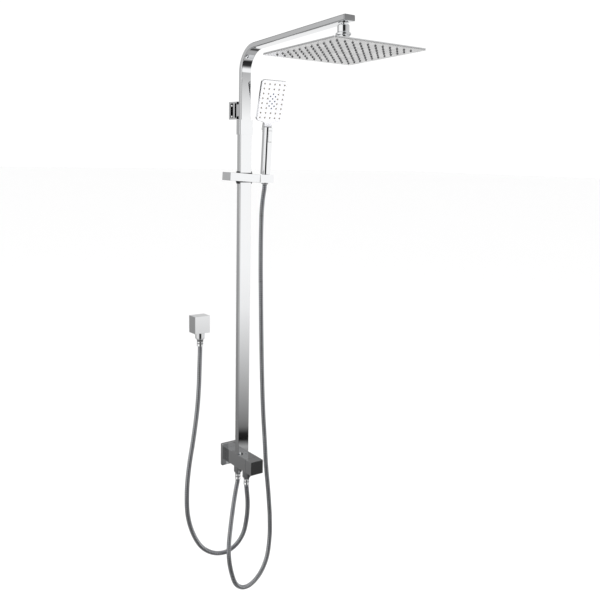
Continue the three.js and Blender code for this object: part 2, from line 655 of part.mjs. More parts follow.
// ---------------------------------------------------------------- elbow on the wall
function makeElbow() {
  const x = [elbow.x - elbow.width / 2, elbow.x + elbow.width / 2];
  const bottom = elbow.z - elbow.height / 2;
  const portY = -elbow.portFromWall;
  const block = box(x, [-elbow.depth, 0], [bottom, bottom + elbow.height]);
  const wallBore = rodY(9, portY - 2, 1, elbow.x, elbow.z);
  const downBore = rodZ(nipple.bore, bottom - 1, elbow.z, elbow.x, portY, 16);
  const spigot = hoseNipple(roundJoint, elbow.x, portY, bottom);
  const spigotBore = nippleBore(roundJoint, elbow.x, portY, bottom);
  part('wall_elbow', cut(join(block, spigot), wallBore, downBore, spigotBore), 'chrome');
  makeHoseJoint('elbow_hose', roundJoint, elbow.x, portY, bottom);
}

// ---------------------------------------------------------------- slider and holder
function makeSlider() {
  const slide = new THREE.Group();
  slide.position.set(0, columnY, slider.z);
  column.add(slide);
  const halfDepth = slider.depth / 2;
  const halfTall = slider.height / 2;
  const bar = box([slider.left, slider.right], [-halfDepth, halfDepth], [-halfTall, halfTall]);
  const linerWidth = riser.width + 2 * (liner.clearance + liner.wall);
  const linerDepth = riser.depth + 2 * (liner.clearance + liner.wall);
  const tall = liner.tongue + 5;
  const linerRoom = roundedBar(linerWidth + 2 * GAP, linerDepth + 2 * GAP, 2.5, -tall, tall);
  const pivotZ = holder.z - slider.z;
  const sideBore = rodX(brake.padRadius + 0.5, linerWidth / 2 - 1, slider.right + 5, 0, pivotZ);
  part('slider_body', cut(bar.rotate([0, slider.droop, 0]), linerRoom, sideBore), 'chrome', slide);

  const sleeve = roundedBar(linerWidth, linerDepth, 2.3, -liner.sleeve, liner.sleeve);
  const half = liner.tongueWidth / 2;
  const tongues = [-1, 1].map((side) => {
    const outside = (side * linerWidth) / 2;
    const inside = side * (linerWidth / 2 - liner.wall);
    return box([outside, inside], [-half, half], [-liner.tongue, liner.tongue]);
  });
  const tubeRoom = roundedBar(
    riser.width + 2 * liner.clearance, riser.depth + 2 * liner.clearance, riser.corner, -tall, tall,
  );
  const padHole = rodX(brake.padRadius + 0.4, riser.width / 2 - 2, linerWidth / 2 + 1, 0, pivotZ);
  part('slider_liner', cut(join(sleeve, ...tongues), tubeRoom, padHole), 'blackPlastic', slide);
  const padStart = riser.width / 2 + GAP;
  const pad = rodX(brake.padRadius, padStart, padStart + brake.padLength, 0, pivotZ);
  part('slider_brake_pad', pad, 'blackRubber', slide);

  const wireRadius = 0.5;
  const springStart = padStart + brake.padLength + 0.5;
  const springRun = brake.springEnd - springStart - 2 * wireRadius;
  const pointsPerTurn = 8;
  const pointCount = brake.turns * pointsPerTurn;
  const coil = new THREE.CatmullRomCurve3(Array.from({ length: pointCount + 1 }, (_, i) => {
    const angle = (i / pointsPerTurn) * Math.PI * 2;
    const x = springStart + wireRadius + (springRun * i) / pointCount;
    return new THREE.Vector3(x, brake.coilRadius * Math.cos(angle), pivotZ + brake.coilRadius * Math.sin(angle));
  }));
  const wire = new THREE.Shape().absarc(0, 0, wireRadius, 0, Math.PI * 2);
  const wireOptions = { steps: brake.turns * 10, extrudePath: coil, curveSegments: 3 };
  part('slider_brake_spring', solid(new THREE.ExtrudeGeometry(wire, wireOptions)), 'springSteel', slide);

  const halfHolder = holder.height / 2;
  const holderX = [holder.left, holder.right];
  const holderY = [-holder.depth / 2, holder.depth / 2];
  const block = box(holderX, holderY, [pivotZ - halfHolder, pivotZ + halfHolder]);
  const slope = (coneNut.topRadius - coneNut.bottomRadius) / (coneNut.top - coneNut.bottom);
  const reach = halfHolder + 5.5;
  const radiusAt = (z) => coneNut.bottomRadius + (z - coneNut.bottom) * slope + coneNut.clearance;
  const socket = rodZ(radiusAt(-reach), -reach, reach, 0, 0, 32, radiusAt(reach));
  const slotHalf = hoseRadius + 1;
  const slot = box([0, 30], [-slotHalf, slotHalf], [-reach, reach]);
  const leaned = join(socket, slot).rotate([handsetLean, 0, 0]).translate([handsetX, 0, pivotZ]);
  const headStart = holder.left + pivot.reach;
  const boltHole = rodX(pivot.radius + GAP, holder.left - 1, handsetX, 0, pivotZ);
  const headHole = rodX(pivot.headRadius + 0.4, headStart - GAP, handsetX, 0, pivotZ);
  part('handset_holder', cut(block, leaned, boltHole, headHole), 'chrome', slide);
  const shank = rodX(pivot.radius, brake.springEnd + 0.8, headStart + 1, 0, pivotZ);
  const head = rodX(pivot.headRadius, headStart, headStart + pivot.headHeight, 0, pivotZ);
  part('holder_pivot_bolt', join(shank, head), 'springSteel', slide);
}

// ---------------------------------------------------------------- handset
function sprayOutline(inset, neckEnd) {
  const side = sprayHead.halfWidth - inset;
  const top = sprayHead.top - inset;
  const low = sprayHead.shoulder + inset;
  const radius = Math.max(sprayHead.corner - inset, 2);
  const neck = handle.width / 2 - Math.min(inset, 3);
  const fillet = 9;
  const shape = new THREE.Shape();
  shape.moveTo(side, low + radius);
  shape.lineTo(side, top - radius);
  shape.absarc(side - radius, top - radius, radius, 0, Math.PI / 2);
  shape.absarc(-side + radius, top - radius, radius, Math.PI / 2, Math.PI);
  shape.lineTo(-side, low + radius);
  shape.absarc(-side + radius, low + radius, radius, Math.PI, Math.PI * 1.42);
  shape.quadraticCurveTo(-neck, low - 2, -neck, low - fillet);
  shape.lineTo(-neck, neckEnd);
  shape.lineTo(neck, neckEnd);
  shape.lineTo(neck, low - fillet);
  const shoulderX = side - radius + radius * Math.cos(Math.PI * 1.58);
  shape.quadraticCurveTo(neck, low - 2, shoulderX, low + radius * 0.03);
  shape.absarc(side - radius, low + radius, radius, Math.PI * 1.58, Math.PI * 2);
  return shape;
}

function sprayPlate(inset, neckEnd, front, back) {
  // flat plate of the spray head's outline, standing in the XZ plane between two y values
  const options = { depth: back - front, bevelEnabled: false, curveSegments: 5 };
  const geometry = new THREE.ExtrudeGeometry(sprayOutline(inset, neckEnd), options);
  geometry.rotateX(Math.PI / 2);
  geometry.translate(0, back, 0);
  return solid(geometry);
}

function makeHandset() {
  const handset = new THREE.Group();
  handset.position.set(handsetX, columnY, holder.z);
  handset.rotation.x = THREE.MathUtils.degToRad(handsetLean);
  column.add(handset);
  const sprayFrame = new THREE.Group();
  sprayFrame.position.set(0, sprayHead.forward, sprayHead.up);
  sprayFrame.rotation.x = THREE.MathUtils.degToRad(headLean);
  handset.add(sprayFrame);

  const { width, depth, bottom, top } = handle;
  const y = depth / 2;
  const topSlope = box([-20, 20], [-12, 0], [0, 12]).rotate([-45, 0, 0]).translate([0, -y - 2, top]);
  const bar = cut(roundedBar(width, depth, handle.corner, bottom, top, 0, 0, 6), topSlope);
  const spigot = rodZ(spigotRadius, -4.5, bottom + 1);
  const place = (manifold) => manifold.rotate([headLean, 0, 0]).translate([0, sprayHead.forward, sprayHead.up]);
  const front = 2.2;
  const back = place(join(
    sprayPlate(0, -82, front, 6.5),
    sprayPlate(3.5, -80, 6, 10.5),
    sprayPlate(8, -78, 10, sprayHead.depth),
  ));
  const pocket = place(box([-35, 35], [front - 1, front + 3.4], [-46, 47]));
  const riserBore = rodZ(4.5, -5.5, 118, 0, 3, 16);
  const spigotBore = rodZ(5.2, -5.5, bottom, 0, 0, 16);
  const channel = place(rodZ(4, -84, -44, 0, 8.4, 16));
  const buttonRoom = box(
    [-button.halfWidth - GAP, button.halfWidth + GAP], [-y - 1, -y + button.depth + button.travel + 1.4],
    [button.bottom - GAP, button.top + GAP],
  );
  const shell = cut(join(bar, spigot, back), pocket, riserBore, spigotBore, channel, buttonRoom);
  part('handset_body', shell, 'chrome', handset);

  const middleRow = (sprayGrid.rows - 1) / 2;
  const middleColumn = (sprayGrid.columns - 1) / 2;
  const holes = [];
  for (let row = 0; row < sprayGrid.rows; row += 1) {
    for (let column_ = 0; column_ < sprayGrid.columns; column_ += 1) {
      const centreColumn = column_ === middleColumn && row > 1 && row < sprayGrid.rows - 2;
      if (!centreColumn) {
        const hx = (column_ - middleColumn) * sprayGrid.pitchX;
        const hz = (row - middleRow) * sprayGrid.pitchZ;
        holes.push(rodY(1.8, -1, front + 1, hx, hz, 4));
      }
    }
  }
  const face = sprayPlate(0.9, -66, 0, front - GAP).subtract(wasm.Manifold.union(holes));
  part('handset_face', face, 'whiteGloss', sprayFrame);
  const mat = box([-34.6, 34.6], [front + GAP, front + 1.8], [-45.6, 46.6]);
  part('handset_nozzle_mat', mat, 'silicone', sprayFrame);

  const buttonBack = -y + button.depth;
  const capX = [-button.halfWidth, button.halfWidth];
  const cap = box(capX, [-y - button.proud, buttonBack], [button.bottom, button.top]);
  part('spray_button', cap, 'chrome', handset);
  const springMiddle = (button.bottom + button.top) / 2;
  const ring = rodY(3, buttonBack + GAP, buttonBack + button.travel + 1.1, 0, springMiddle, 16);
  const ringBore = rodY(2.2, buttonBack, buttonBack + 5, 0, springMiddle, 12);
  part('button_spring', cut(ring, ringBore), 'springSteel', handset);

  const cone = rodZ(coneNut.bottomRadius, coneNut.bottom, coneNut.top, 0, 0, 32, coneNut.topRadius);
  const thread = rodZ(spigotRadius + GAP, -7.5, coneNut.top + 1);
  const hoseBore = rodZ(5, coneNut.bottom - 1, -7, 0, 0, 16);
  part('hose_cone_nut', cut(cone, thread, hoseBore), 'chrome', handset);
}

// ---------------------------------------------------------------- hoses
// Points chosen by hand along each hose; the tube is laid on a smooth curve through them.
const handsetHoseLoop = [
  [0, -45, -69], [-2, -45.3, -78], [-7, -47, -95], [-19, -54, -133], [-38, -70, -188], [-53, -85, -232],
  [-57, -92, -273], [-50, -95, -320], [-35, -96, -359], [-12, -96, -376], [14, -95, -376], [46, -93, -356],
  [72, -90, -315], [85, -86, -251], [87, -82, -181],
];
const handsetHoseLeg = [
  [87, -82, -181], [83, -78, -110], [77, -74, -34], [74, -70, 41], [70, -67, 116], [67, -64, 204],
  [65, -61, 306], [63, -59, 420], [61.5, -58, 500],
];
const handsetHoseUpper = [[61.5, -58, 500], [60.6, -57.8, 560], [60.2, -58, 620], [60.5, -58.6, 680]];
const handsetHoseTop = [
  [60.5, -58.6, 680], [61.8, -59.6, 710], [64, -61, 735], [66, -62.6, 753], [66.6, -63.4, 764],
];
const supplyHose = [
  [-107, -19.4, 331.1], [-107.6, -19.6, 312], [-109.5, -20.3, 275], [-112, -21.3, 223], [-119, -23.4, 154],
  [-133, -26.4, 72], [-147, -29, 3], [-156, -32, -67], [-156, -36, -139], [-143, -41, -194],
  [-121, -47, -237], [-98, -52, -258], [-74, -58, -268], [-47, -64, -268], [-20, -71, -251],
  [-2, -78, -220], [6, -84, -170], [6, -88, -123], [2, -89.6, -88], [0, -89.8, -69],
];

function hoseCurve(points) {
  return new THREE.CatmullRomCurve3(points.map((p) => new THREE.Vector3(...p)), false, 'centripetal');
}

function hoseTube(points) {
  const curve = hoseCurve(points);
  const steps = Math.max(4, Math.round(curve.getLength() / (hoseRadius * 4.6)));
  const circle = new THREE.Shape().absarc(0, 0, hoseRadius, 0, Math.PI * 2);
  return solid(new THREE.ExtrudeGeometry(circle, { steps, extrudePath: curve, curveSegments: 10 }));
}

function makeHandsetHose() {
  // one hose in four stretches, so that each joint that moves it has a stretch of its own
  const faces = (points, startGap, endGap) => {
    const first = new THREE.Vector3(...points[0]);
    const last = new THREE.Vector3(...points[points.length - 1]);
    const second = new THREE.Vector3(...points[1]);
    const beforeLast = new THREE.Vector3(...points[points.length - 2]);
    const start = first.clone().addScaledVector(second.clone().sub(first).normalize(), startGap);
    const end = last.clone().addScaledVector(beforeLast.clone().sub(last).normalize(), endGap);
    return [start.toArray(), ...points.slice(1, -1), end.toArray()];
  };
  part('handset_hose_loop', hoseTube(faces(handsetHoseLoop, 0, 0.5)), 'hoseSteel');
  part('handset_hose_leg', hoseTube(faces(handsetHoseLeg, 0.5, 0.3)), 'hoseSteel');
  part('handset_hose_upper', hoseTube(faces(handsetHoseUpper, 0.3, 0.3)), 'hoseSteel');
  part('handset_hose_top', hoseTube(faces(handsetHoseTop, 0.3, 0.3)), 'hoseSteel');
}

makeWallFixing();
makeDiverter();
makeHoseJoint('handset_outlet', flattedJoint, 0, -outletFromWall, -halfHeight);
makeHoseJoint('supply_inlet', flattedJoint, 0, -inletFromWall, -halfHeight);
makeRiser();
makeArm();
makeUpperBracket();
makeRainHead();
makeElbow();
makeSlider();
makeHandset();
makeHandsetHose();
part('supply_hose', hoseTube(supplyHose), 'hoseSteel');

export default column;
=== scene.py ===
"""Rainfall shower column: finishes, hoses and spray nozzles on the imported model, with its studio."""

import json
import math

import bpy
import numpy as np
from mathutils import Matrix, Vector


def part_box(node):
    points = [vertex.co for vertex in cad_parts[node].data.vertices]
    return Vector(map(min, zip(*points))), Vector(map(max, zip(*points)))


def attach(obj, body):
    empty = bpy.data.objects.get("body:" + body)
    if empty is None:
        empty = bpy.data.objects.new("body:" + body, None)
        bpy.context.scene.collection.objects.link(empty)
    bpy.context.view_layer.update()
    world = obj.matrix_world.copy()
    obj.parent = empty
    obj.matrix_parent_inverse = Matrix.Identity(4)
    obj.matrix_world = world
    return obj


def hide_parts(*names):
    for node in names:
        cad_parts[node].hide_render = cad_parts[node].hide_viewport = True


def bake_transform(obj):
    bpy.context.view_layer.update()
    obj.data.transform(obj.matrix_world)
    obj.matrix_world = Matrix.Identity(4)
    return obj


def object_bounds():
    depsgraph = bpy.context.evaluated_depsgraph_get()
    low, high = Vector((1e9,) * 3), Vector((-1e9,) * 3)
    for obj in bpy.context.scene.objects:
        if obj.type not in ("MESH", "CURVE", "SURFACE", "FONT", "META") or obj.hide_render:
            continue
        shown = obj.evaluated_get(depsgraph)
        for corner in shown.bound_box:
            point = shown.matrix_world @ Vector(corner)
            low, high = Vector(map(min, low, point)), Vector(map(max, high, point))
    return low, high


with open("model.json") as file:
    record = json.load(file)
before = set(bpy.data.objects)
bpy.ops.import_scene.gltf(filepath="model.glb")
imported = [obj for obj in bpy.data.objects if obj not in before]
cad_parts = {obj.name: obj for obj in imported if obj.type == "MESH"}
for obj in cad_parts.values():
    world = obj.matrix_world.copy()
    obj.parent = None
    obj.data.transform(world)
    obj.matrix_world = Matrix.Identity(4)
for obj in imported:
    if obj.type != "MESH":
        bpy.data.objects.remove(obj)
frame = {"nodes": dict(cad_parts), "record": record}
cad_low, cad_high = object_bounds()
nodes = frame["nodes"]
MM = 0.001

# ---------------------------------------------------------------- sizes
HOSE_RADIUS = 6.3 * MM
HOSE_PITCH = 5.4 * MM  # one turn of the interlocked strip
HOSE_GROOVE = 1.0 * MM
HOSE_FLAT = 0.5  # share of each turn that lies level with the crest
CREST = 0.66  # share of each turn that stays bright, free of the painted groove shade
CREST_FADE = 0.2  # share over which the painted shade fades in towards the groove
HOSE_SIDES = 20
RINGS_PER_TURN = 8

FERRULE_BORE = 4.6 * MM
FERRULE_EDGE = 0.5 * MM  # rounding of its ends, and depth of its rolled grooves
FERRULE_GROOVES = (0.34, 0.66)  # shares of its length
GROOVE_MOUTH = 1.4 * MM  # half a rolled groove's width at the surface
GROOVE_FLOOR = 0.7 * MM  # and at its floor

STAND_OFF = 64.4 * MM  # wall to the riser's axis
LEAN = math.radians(3.8)  # the handle leans away from the wall
FACE_LEAN = math.radians(11)  # the spray face leans on from the handle
HANDSET_AXIS = Vector((66.6 * MM, -STAND_OFF, 779.5 * MM))
SPRAY_CENTRE = Vector((0, -15.3 * MM, 200.7 * MM))
SPRAY_ROWS = 8
SPRAY_COLUMNS = 5
SPRAY_PITCH_X = 15.5 * MM
SPRAY_PITCH_Z = 12.3 * MM

# The hose's cone nut in millimetres, with heights along the handle's axis.
CONE_FOOT = -14.7
CONE_TOP = 10.0
CONE_NARROW = 9.5  # radius of its taper at the foot
CONE_WIDE = 12.0  # and at the top
CONE_HOLE = 5.0  # radius of its opening at the foot
CONE_MOUTH = 8.9  # and at the top
CONE_EDGE = 0.6
CONE_GROOVE = 0.4  # depth of the turned groove
CONE_GROOVE_LOW = 2.2  # where the groove starts and ends above the foot
CONE_GROOVE_HIGH = 4.0

BALL_CENTRE = Vector((0, -452 * MM, 1110 * MM))
HEAD_TILT = math.radians(2.5)
HEAD_FACE = -49.4 * MM  # underside of the rain head below the ball
HEAD_NOZZLES = 11
HEAD_PITCH = 20.4 * MM

# Nozzle profiles: radius, and height above the face, in millimetres.
RAIN_NOZZLE = [
    (2.75, -0.1), (2.75, 0.35), (2.4, 0.55), (2.0, 0.6), (1.55, 2.3), (1.25, 2.5), (0.55, 2.5), (0.5, 1.6),
]
JET = [(2.3, -0.1), (2.3, 0.2), (2.0, 0.4), (1.6, 0.45), (1.15, 1.6), (0.9, 1.75), (0.45, 1.75), (0.4, 1.1)]
MIST_JET = [(2.1, -0.1), (2.1, 0.2), (1.85, 0.4), (1.2, 0.45), (1.1, 0.15), (0.5, 0.1)]
NOZZLE_SIDES = 14

SHARP_ANGLE = math.radians(40)  # edges sharper than this aren't shaded smooth
CURVE_STEP = 2 * MM  # spacing of the first points along a hose's curve

CAMERA_PLACE = (-1.0945, -1.7669, 0.8360)
CAMERA_HEADING = math.radians(37.1)
CAMERA_PITCH = math.radians(-10.6)
CAMERA_ROLL = math.radians(1.3)
CAMERA_LENS = 45.56
CAMERA_SENSOR = 36

FLOOR_DROP = 0.5  # metres under the lowest loop of hose
FLOOR_HALF = 90
BACKGROUND_STRENGTH = 1.06


# ---------------------------------------------------------------- camera
def place_camera():
    """The camera, turned by its heading, then its pitch, then its roll."""
    heading, pitch, roll = CAMERA_HEADING, CAMERA_PITCH, CAMERA_ROLL
    forward = Vector((
        math.sin(heading) * math.cos(pitch),
        math.cos(heading) * math.cos(pitch),
        math.sin(pitch),
    ))
    level = Vector((math.cos(heading), -math.sin(heading), 0))
    above = level.cross(forward)
    right = math.cos(roll) * level + math.sin(roll) * above
    up = -math.sin(roll) * level + math.cos(roll) * above
    data = bpy.data.cameras.new("camera")
    data.lens = CAMERA_LENS
    data.sensor_width = CAMERA_SENSOR
    camera = bpy.data.objects.new("camera", data)
    bpy.context.collection.objects.link(camera)
    turn = Matrix((right, up, -forward)).transposed().to_4x4()
    camera.matrix_world = Matrix.Translation(CAMERA_PLACE) @ turn
    bpy.context.scene.camera = camera


place_camera()


# ---------------------------------------------------------------- shader groups
def new_group(name, inputs, outputs):
    """An empty node group with its sockets, and its input and output nodes."""
    group = bpy.data.node_groups.new(name, "ShaderNodeTree")
    for socket_name, kind, value in inputs:
        socket = group.interface.new_socket(socket_name, in_out="INPUT", socket_type=kind)
        socket.default_value = value
    for socket_name, kind in outputs:
        group.interface.new_socket(socket_name, in_out="OUTPUT", socket_type=kind)
    return group, group.nodes.new("NodeGroupInput"), group.nodes.new("NodeGroupOutput")


def set_inputs(node, values):
    for socket_name, value in values.items():
        node.inputs[socket_name].default_value = value


def noise_in(group, scale_socket, detail):
    """Noise laid out in the piece's own space."""
    place = group.nodes.new("ShaderNodeTexCoord")
    noise = group.nodes.new("ShaderNodeTexNoise")
    noise.inputs["Detail"].default_value = detail
    group.links.new(place.outputs["Object"], noise.inputs["Vector"])
    group.links.new(scale_socket, noise.inputs["Scale"])
    return noise


def mottle_group():
    """A value that wanders between two limits, for roughness that is never quite even."""
    group, given, result = new_group(
        "polish_mottle",
        [
            ("Scale", "NodeSocketFloat", 30.0),
            ("Low", "NodeSocketFloat", 0.1),
            ("High", "NodeSocketFloat", 0.2),
        ],
        [("Value", "NodeSocketFloat")],
    )
    noise = noise_in(group, given.outputs["Scale"], detail=3.0)
    spread = group.nodes.new("ShaderNodeMapRange")
    set_inputs(spread, {"From Min": 0.3, "From Max": 0.7})  # most of the noise lies between these
    group.links.new(noise.outputs["Fac"], spread.inputs["Value"])
    group.links.new(given.outputs["Low"], spread.inputs["To Min"])
    group.links.new(given.outputs["High"], spread.inputs["To Max"])
    group.links.new(spread.outputs["Result"], result.inputs["Value"])
    return group


def drift_group():
    """A colour that drifts towards a second one in soft patches."""
    group, given, result = new_group(
        "colour_drift",
        [
            ("Scale", "NodeSocketFloat", 12.0),
            ("Colour", "NodeSocketColor", (0.8, 0.8, 0.8, 1)),
            ("Patch", "NodeSocketColor", (0.7, 0.7, 0.7, 1)),
        ],
        [("Colour", "NodeSocketColor")],
    )
    noise = noise_in(group, given.outputs["Scale"], detail=2.0)
    mix = group.nodes.new("ShaderNodeMix")
    mix.data_type = "RGBA"
    colour_a, colour_b = [s for s in mix.inputs if s.type == "RGBA"]
    group.links.new(noise.outputs["Fac"], mix.inputs["Factor"])
    group.links.new(given.outputs["Colour"], colour_a)
    group.links.new(given.outputs["Patch"], colour_b)
    mixed = [s for s in mix.outputs if s.type == "RGBA"][0]
    group.links.new(mixed, result.inputs["Colour"])
    return group


def grain_group():
    """Fine grain as a height."""
    group, given, result = new_group(
        "fine_grain",
        [("Scale", "NodeSocketFloat", 900.0)],
        [("Height", "NodeSocketFloat")],
    )
    noise = noise_in(group, given.outputs["Scale"], detail=4.0)
    group.links.new(noise.outputs["Fac"], result.inputs["Height"])
    return group


MOTTLE = mottle_group()
DRIFT = drift_group()
GRAIN = grain_group()


def add_group(tree, group, values):
    """Puts a shared group into a finish, with its inputs set."""
    node = tree.nodes.new("ShaderNodeGroup")
    node.node_tree = group
    set_inputs(node, values)
    return node


def add_grain(tree, shader, scale, strength, depth):
    """Fine grain on a finish, its depth in millimetres."""
    grains = add_group(tree, GRAIN, {"Scale": scale})
    bump = tree.nodes.new("ShaderNodeBump")
    set_inputs(bump, {"Strength": strength, "Distance": depth * MM})
    tree.links.new(grains.outputs["Height"], bump.inputs["Height"])
    tree.links.new(bump.outputs["Normal"], shader.inputs["Normal"])


def make_finish(
    name, colour, patch, rough, metallic=0.0, patch_scale=12.0, rough_scale=30.0, grain=None, coat=0.0,
):
    """A finish: colour and patch colour, roughness limits, and grain as (scale, strength, depth in mm)."""
    material = bpy.data.materials.new(name)
    material.use_nodes = True
    tree = material.node_tree
    shader = tree.nodes["Principled BSDF"]
    set_inputs(shader, {"Metallic": metallic, "Coat Weight": coat, "Coat Roughness": 0.08})
    drift = add_group(tree, DRIFT, {"Scale": patch_scale, "Colour": (*colour, 1), "Patch": (*patch, 1)})
    tree.links.new(drift.outputs["Colour"], shader.inputs["Base Color"])
    mottle = add_group(tree, MOTTLE, {"Scale": rough_scale, "Low": rough[0], "High": rough[1]})
    tree.links.new(mottle.outputs["Value"], shader.inputs["Roughness"])
    if grain:
        add_grain(tree, shader, *grain)
    return material


# ---------------------------------------------------------------- finishes
def polished_chrome():
    return make_finish(
        "polished_chrome", (0.95, 0.955, 0.96), (0.92, 0.93, 0.945), (0.01, 0.025), metallic=1.0,
        rough_scale=14,
    )


def satin_plate():
    return make_finish(
        "satin_plate", (0.93, 0.93, 0.925), (0.88, 0.88, 0.88), (0.24, 0.30), metallic=1.0,
        grain=(1600, 0.25, 0.05),
    )


def hose_steel():
    """Bright strip, with painted shade that darkens it into its grooves."""
    material = make_finish(
        "hose_steel", (0.70, 0.71, 0.73), (0.56, 0.57, 0.60), (0.08, 0.14), metallic=1.0, patch_scale=60,
        rough_scale=120,
    )
    tree = material.node_tree
    shader = tree.nodes["Principled BSDF"]
    strip_colour = shader.inputs["Base Color"].links[0].from_socket
    # Painted shade: the strip's colour is mixed towards near-black by the hose's groove attribute, in place
    # of the shade in its grooves.
    groove = tree.nodes.new("ShaderNodeAttribute")
    groove.attribute_name = "groove"
    mix = tree.nodes.new("ShaderNodeMixRGB")
    mix.inputs["Color2"].default_value = (0.02, 0.02, 0.022, 1)
    tree.links.new(groove.outputs["Fac"], mix.inputs["Fac"])
    tree.links.new(strip_colour, mix.inputs["Color1"])
    tree.links.new(mix.outputs["Color"], shader.inputs["Base Color"])
    return material


# Near-black that stands in for shade: painted shade in the upper bracket's pockets and on its wall plate.
def bracket_shade_black():
    return make_finish(
        "bracket_shade_black", (0.035, 0.035, 0.037), (0.02, 0.02, 0.022), (0.45, 0.6), metallic=1.0, patch_scale=80,
        grain=(700, 0.5, 0.1),
    )


def turned_brass():
    return make_finish(
        "turned_brass", (0.69, 0.52, 0.25), (0.60, 0.44, 0.20), (0.28, 0.4), metallic=1.0, patch_scale=40,
        grain=(1200, 0.2, 0.04),
    )


def plated_steel():
    return make_finish(
        "plated_steel", (0.52, 0.53, 0.54), (0.43, 0.44, 0.46), (0.3, 0.45), metallic=1.0, patch_scale=50,
        grain=(900, 0.2, 0.05),
    )


def white_gloss():
    return make_finish(
        "white_gloss", (0.85, 0.85, 0.875), (0.82, 0.82, 0.85), (0.12, 0.2), coat=0.4,
        grain=(500, 0.05, 0.03),
    )


def grey_silicone():
    return make_finish(
        "grey_silicone", (0.15, 0.15, 0.155), (0.12, 0.12, 0.125), (0.55, 0.7), grain=(1500, 0.3, 0.05),
    )


def sand_silicone():
    return make_finish(
        "sand_silicone", (0.30, 0.27, 0.225), (0.26, 0.235, 0.195), (0.5, 0.65), grain=(1500, 0.3, 0.05),
    )


def slate_silicone():
    return make_finish(
        "slate_silicone", (0.11, 0.14, 0.21), (0.09, 0.115, 0.17), (0.5, 0.65), grain=(1500, 0.3, 0.05),
    )


def black_moulding():
    return make_finish(
        "black_moulding", (0.014, 0.014, 0.015), (0.02, 0.02, 0.021), (0.4, 0.55), grain=(700, 0.3, 0.06),
    )


def black_rubber():
    return make_finish(
        "black_rubber", (0.012, 0.012, 0.012), (0.022, 0.022, 0.022), (0.7, 0.85), grain=(500, 0.4, 0.08),
    )


FINISHES = {
    "chrome": polished_chrome(),
    "satinSteel": satin_plate(),
    "hoseSteel": hose_steel(),
    "brass": turned_brass(),
    "springSteel": plated_steel(),
    "whiteGloss": white_gloss(),
    "silicone": grey_silicone(),
    "blackPlastic": black_moulding(),
    "blackRubber": black_rubber(),
}
SAND = sand_silicone()
SLATE = slate_silicone()
# near-black painted shade for the bracket's pockets and wall plate
BRACKET_SHADE = bracket_shade_black()


# ---------------------------------------------------------------- mesh helpers
def add_mesh(name, corners, faces, material, smooth=True):
    mesh = bpy.data.meshes.new(name)
    mesh.from_pydata([tuple(c) for c in corners], [], faces)
    mesh.validate()
    mesh.polygons.foreach_set("use_smooth", [smooth] * len(mesh.polygons))
    mesh.materials.append(material)
    piece = bpy.data.objects.new(name, mesh)
    bpy.context.collection.objects.link(piece)
    return piece


def soften(piece, width):
    """Breaks the sharp edges of a piece, as a polished or moulded edge is broken."""
    bevel = piece.modifiers.new("broken_edges", "BEVEL")
    bevel.width = width
    bevel.segments = 2
    bevel.limit_method = "ANGLE"
    bevel.angle_limit = math.radians(32)
    bevel.harden_normals = True


def curve_span(a, b, c, d):
    """Points from b towards c on the centripetal curve that these four lie on."""
    t0 = 0.0
    t1 = t0 + math.sqrt((b - a).length)
    t2 = t1 + math.sqrt((c - b).length)
    t3 = t2 + math.sqrt((d - c).length)
    count = max(4, int((c - b).length / CURVE_STEP))
    points = []
    for i in range(count):
        t = t1 + (t2 - t1) * i / count
        ab = a.lerp(b, (t - t0) / (t1 - t0))
        bc = b.lerp(c, (t - t1) / (t2 - t1))
        cd = c.lerp(d, (t - t2) / (t3 - t2))
        abc = ab.lerp(bc, (t - t0) / (t2 - t0))
        bcd = bc.lerp(cd, (t - t1) / (t3 - t1))
        points.append(abc.lerp(bcd, (t - t1) / (t2 - t1)))
    return points


def smooth_curve(given, step):
    """Evenly spaced points along a curve through the given ones, and the curve's length."""
    first = given[0] * 2 - given[1]
    last = given[-1] * 2 - given[-2]
    padded = [first, *given, last]
    fine = []
    for four in zip(padded, padded[1:], padded[2:], padded[3:]):
        fine.extend(curve_span(*four))
    fine.append(given[-1])
    line = np.array(fine)
    along = np.concatenate([[0], np.cumsum(np.linalg.norm(np.diff(line, axis=0), axis=1))])
    count = max(2, int(round(along[-1] / step)))
    places = np.linspace(0, along[-1], count + 1)
    return np.stack([np.interp(places, along, line[:, k]) for k in range(3)], axis=1), along[-1]


def tube_faces(rings, sides):
    """Faces that join rings of corners into a tube, closed at both ends."""
    faces = []
    for ring in range(rings - 1):
        low, high = ring * sides, (ring + 1) * sides
        for i in range(sides):
            j = (i + 1) % sides
            faces.append((low + i, low + j, high + j, high + i))
    faces.append(tuple(reversed(range(sides))))
    faces.append(tuple(range((rings - 1) * sides, rings * sides)))
    return faces


def turned_shape(profile, sides):
    """Corners and faces of a body turned about Z, from (radius, height) pairs."""
    corners = []
    for radius, height in profile:
        for i in range(sides):
            angle = math.tau * i / sides
            corners.append((radius * math.cos(angle), radius * math.sin(angle), height))
    return corners, tube_faces(len(profile), sides)


def in_metres(profile):
    return [(radius * MM, height * MM) for radius, height in profile]


def turned(name, profile, material, sides=40):
    """A piece turned about Z."""
    corners, faces = turned_shape(profile, sides)
    piece = add_mesh(name, corners, faces, material)
    piece.data.set_sharp_from_angle(angle=SHARP_ANGLE)
    return piece


def copies(name, template, places, material):
    """One mesh that holds a small template, as corners and faces, at every place."""
    corners, faces = [], []
    shape, shape_faces = template
    for place in places:
        start = len(corners)
        corners.extend(place @ Vector(c) for c in shape)
        faces.extend(tuple(start + i for i in face) for face in shape_faces)
    piece = add_mesh(name, corners, faces, material)
    piece.data.set_sharp_from_angle(angle=SHARP_ANGLE)
    return piece


